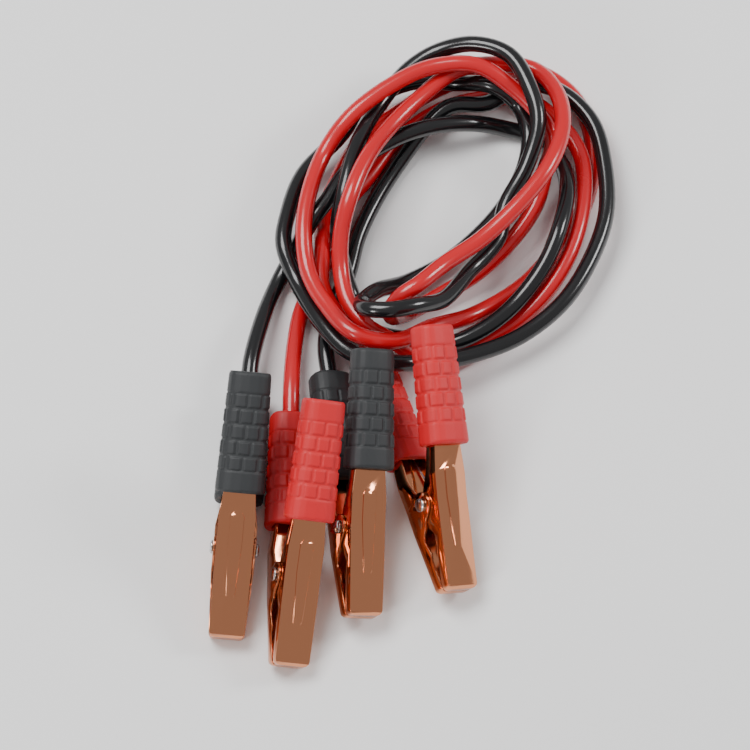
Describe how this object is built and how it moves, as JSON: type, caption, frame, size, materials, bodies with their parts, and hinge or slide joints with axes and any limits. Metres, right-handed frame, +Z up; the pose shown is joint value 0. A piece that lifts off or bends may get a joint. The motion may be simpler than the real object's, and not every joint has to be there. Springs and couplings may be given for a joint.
{
  "type": "jump starter cable set",
  "caption": "Red and black battery jump leads lying in a loose coil, with a sprung copper plated clamp and soft sleeves at each end.",
  "frame": {"origin": "floor under the middle of the four clamps", "axes": "+Z up, +Y from the clamps towards the coil"},
  "size_m": [0.2381, 0.3953, 0.0841],
  "materials": {
    "copper_plate": "polished copper plating",
    "bright_steel": "bright zinc plated",
    "black_sleeve": "matte soft PVC",
    "red_sleeve": "matte soft PVC",
    "black_jacket": "glossy PVC",
    "red_jacket": "glossy PVC"
  },
  "bodies": {
    "cables_and_lower_halves": {"cable_black": "black_jacket", "cable_red": "red_jacket", "clamp_a_lower_jaw": "copper_plate", "clamp_a_lower_grip": "black_sleeve", "clamp_a_pivot_rivet": "bright_steel", "clamp_a_torsion_spring": "bright_steel", "clamp_b_lower_jaw": "copper_plate", "clamp_b_lower_grip": "red_sleeve", "clamp_b_pivot_rivet": "bright_steel", "clamp_b_torsion_spring": "bright_steel", "clamp_c_lower_jaw": "copper_plate", "clamp_c_lower_grip": "black_sleeve", "clamp_c_pivot_rivet": "bright_steel", "clamp_c_torsion_spring": "bright_steel", "clamp_d_lower_jaw": "copper_plate", "clamp_d_lower_grip": "red_sleeve", "clamp_d_pivot_rivet": "bright_steel", "clamp_d_torsion_spring": "bright_steel"},
    "clamp_a_upper_half": {"clamp_a_upper_jaw": "copper_plate", "clamp_a_upper_grip": "black_sleeve"},
    "clamp_b_upper_half": {"clamp_b_upper_jaw": "copper_plate", "clamp_b_upper_grip": "red_sleeve"},
    "clamp_c_upper_half": {"clamp_c_upper_jaw": "copper_plate", "clamp_c_upper_grip": "black_sleeve"},
    "clamp_d_upper_half": {"clamp_d_upper_jaw": "copper_plate", "clamp_d_upper_grip": "red_sleeve"}
  },
  "joints": [
    {"name": "clamp_a_squeeze", "type": "hinge", "parent": "cables_and_lower_halves", "child": "clamp_a_upper_half", "pos_m": [-0.06204, -0.02791, 0.02063], "axis": [-0.9953, 0.069, 0.0674], "range_deg": [0, 22], "stiffness_Nm_per_rad": 2, "springref_deg": -34.38, "deforming": ["clamp_a_torsion_spring"]},
    {"name": "clamp_b_squeeze", "type": "hinge", "parent": "cables_and_lower_halves", "child": "clamp_b_upper_half", "pos_m": [-0.02704, -0.04541, 0.02163], "axis": [-0.9432, -0.017, 0.3319], "range_deg": [0, 22], "stiffness_Nm_per_rad": 2, "springref_deg": -34.38, "deforming": ["clamp_b_torsion_spring"]},
    {"name": "clamp_c_squeeze", "type": "hinge", "parent": "cables_and_lower_halves", "child": "clamp_c_upper_half", "pos_m": [0.00866, -0.01641, 0.02393], "axis": [-0.9094, -0.112, 0.4006], "range_deg": [0, 12], "stiffness_Nm_per_rad": 2, "springref_deg": -34.38, "deforming": ["clamp_c_torsion_spring"]},
    {"name": "clamp_d_squeeze", "type": "hinge", "parent": "cables_and_lower_halves", "child": "clamp_d_upper_half", "pos_m": [0.05446, -0.00141, 0.02313], "axis": [-0.7983, -0.2739, 0.5364], "range_deg": [0, 10], "stiffness_Nm_per_rad": 2, "springref_deg": -34.38, "deforming": ["clamp_d_torsion_spring"]}
  ]
}
